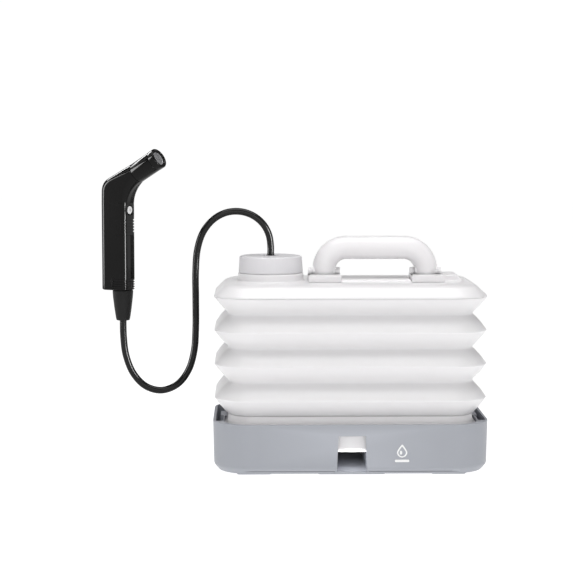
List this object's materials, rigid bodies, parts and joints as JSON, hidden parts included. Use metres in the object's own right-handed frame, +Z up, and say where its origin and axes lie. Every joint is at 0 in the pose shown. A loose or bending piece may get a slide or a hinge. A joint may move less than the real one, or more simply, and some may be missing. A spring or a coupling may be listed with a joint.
{
  "type": "collapsible water tank with hand shower",
  "caption": "Collapsible bellows water tank in a tray, with a screw cap, a folding carrying handle and a hose to a battery hand shower.",
  "frame": {"origin": "centre of the tray's underside, on the middle foot runner", "axes": "+X along the tray towards the handle end, -Y out of the front window, +Z up"},
  "size_m": [0.4656, 0.19, 0.3845],
  "materials": {
    "tray_grey": "satin moulded plastic",
    "tank_white": "blow-moulded, slightly translucent",
    "cap_grey": "satin",
    "gloss_black": "polished",
    "soft_black": "satin rubber",
    "hose_black": "glossy hose",
    "steel": "satin",
    "mesh_grey": "fine mesh",
    "icon_white": "printed insert",
    "silicone": "clear tube",
    "cell_blue": "shrink sleeve",
    "board_green": "circuit board"
  },
  "bodies": {
    "root": {"base_tray": "tray_grey", "clip_pin_left": "steel", "clip_pin_right": "steel", "tank_base": "tank_white", "tank_bellows": "tank_white", "suction_hose": "silicone", "intake_strainer": "gloss_black", "hose": "hose_black", "gun_shell_left": "gloss_black", "gun_shell_right": "gloss_black", "shell_screw_1": "steel", "shell_screw_2": "steel", "shell_screw_3": "steel", "button_housing": "gloss_black", "gun_end_cap": "gloss_black", "head_tube": "gloss_black", "nozzle_ring": "gloss_black", "plate_seal": "soft_black", "spray_plate": "mesh_grey", "button_spring": "steel", "switch": "gloss_black", "battery_cell": "cell_blue", "control_board": "board_green", "pump_motor": "steel", "pump_head": "gloss_black", "inlet_tube": "silicone", "outlet_tube": "silicone", "strain_relief": "soft_black", "hose_barb": "gloss_black", "charge_socket": "steel", "socket_cover": "soft_black"},
    "tank_top": {"tank_top": "tank_white", "handle_bracket_left": "tank_white", "handle_bracket_right": "tank_white", "handle_pin_left": "steel", "handle_pin_right": "steel"},
    "handle": {"handle": "tank_white"},
    "cap_gland": {"hose_gland": "gloss_black"},
    "cap": {"screw_cap": "cap_grey", "cap_gasket": "soft_black"},
    "clip_left": {"side_clip_left": "tray_grey"},
    "clip_right": {"side_clip_right": "tray_grey"},
    "trigger": {"trigger_button": "gloss_black", "button_icon": "icon_white"}
  },
  "joints": [
    {"name": "tank_collapse", "type": "slide", "parent": "root", "child": "tank_top", "axis": [0, 0, -1], "range_m": [0, 0.098], "deforming": ["tank_bellows", "suction_hose", "hose"]},
    {"name": "handle_fold", "type": "hinge", "parent": "tank_top", "child": "handle", "pos_m": [0.0319, 0, 0.2345], "axis": [-1, 0, 0], "range_deg": [0, 70]},
    {"name": "cap_lift", "type": "slide", "parent": "tank_top", "child": "cap_gland", "axis": [0, 0, 1], "range_m": [0, 0.01]},
    {"name": "cap_turn", "type": "hinge", "parent": "cap_gland", "child": "cap", "pos_m": [-0.0952, 0, 0.245], "axis": [0, 0, 1], "range_deg": [0, 720]},
    {"name": "clip_left_release", "type": "hinge", "parent": "root", "child": "clip_left", "pos_m": [-0.1572, 0, 0.022], "axis": [0, -1, 0], "range_deg": [0, 6], "stiffness_Nm_per_rad": 0.4, "springref_deg": -5.73},
    {"name": "clip_right_release", "type": "hinge", "parent": "root", "child": "clip_right", "pos_m": [0.1572, 0, 0.022], "axis": [0, 1, 0], "range_deg": [0, 6], "stiffness_Nm_per_rad": 0.4, "springref_deg": -5.73},
    {"name": "trigger_press", "type": "slide", "parent": "root", "child": "trigger", "axis": [-0.866, 0.5, 0], "range_m": [0, 0.0015], "stiffness_N_per_m": 800, "springref_m": -0.0015, "deforming": ["button_spring"]}
  ],
  "couplings": [
    {"joint": "cap_lift", "follows": "cap_turn", "m_per_rad": 0.00079577}
  ]
}
